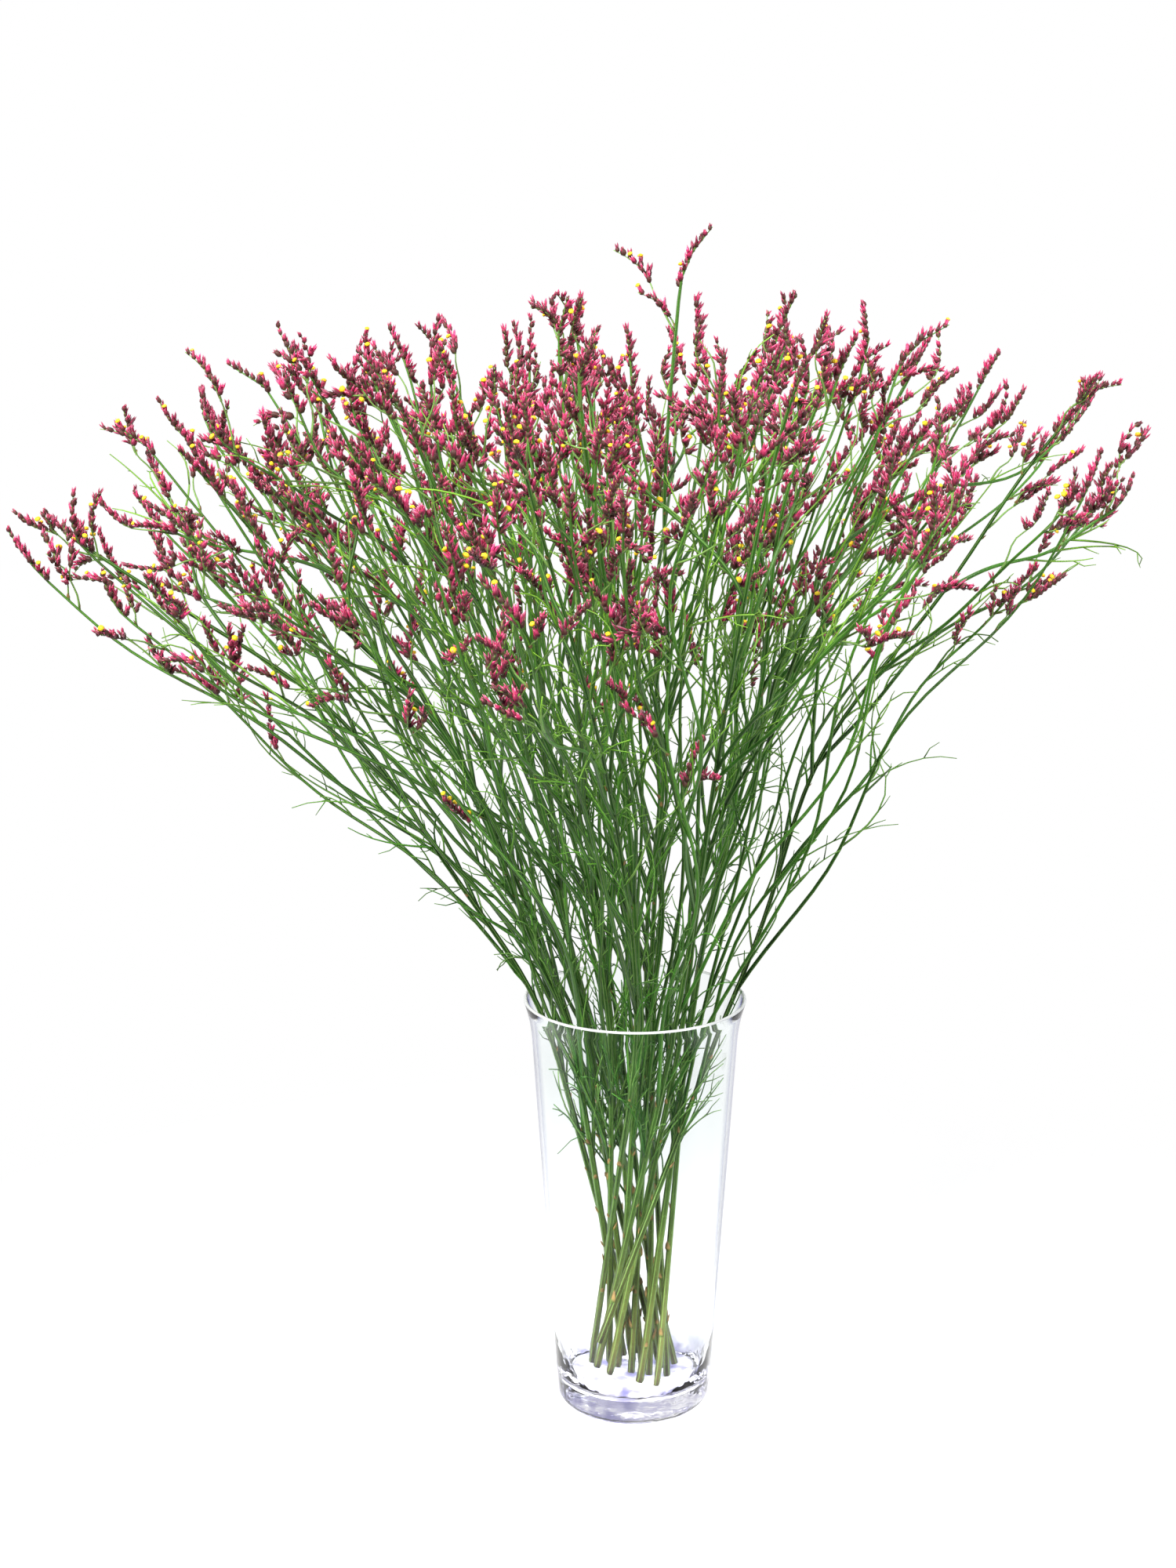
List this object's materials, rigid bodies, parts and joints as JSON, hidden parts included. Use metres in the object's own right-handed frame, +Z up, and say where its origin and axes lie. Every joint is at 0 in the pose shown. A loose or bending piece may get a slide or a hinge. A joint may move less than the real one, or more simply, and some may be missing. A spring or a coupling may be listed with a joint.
{
  "type": "dried statice bunch in a glass vase",
  "caption": "Fan of green statice stems tipped with one-sided crimson flower spikes, standing in a tall tapered clear glass vase.",
  "frame": {"origin": "centre of the vase's underside", "axes": "+Z up along the vase's axis, +Y from the viewer through the bunch, +X to the viewer's right"},
  "size_m": [0.62, 0.5641, 0.6865],
  "materials": {
    "glass": "clear polished",
    "statice": "matte, green stems with crimson florets"
  },
  "bodies": {
    "root": {"vase": "glass", "statice_stem_01": "statice", "statice_stem_02": "statice", "statice_stem_03": "statice", "statice_stem_04": "statice", "statice_stem_05": "statice", "statice_stem_06": "statice", "statice_stem_07": "statice", "statice_stem_08": "statice", "statice_stem_09": "statice", "statice_stem_10": "statice", "statice_stem_11": "statice", "statice_stem_12": "statice", "statice_stem_13": "statice", "statice_stem_14": "statice", "statice_stem_15": "statice", "statice_stem_16": "statice", "statice_stem_17": "statice", "statice_stem_18": "statice"}
  },
  "joints": []
}
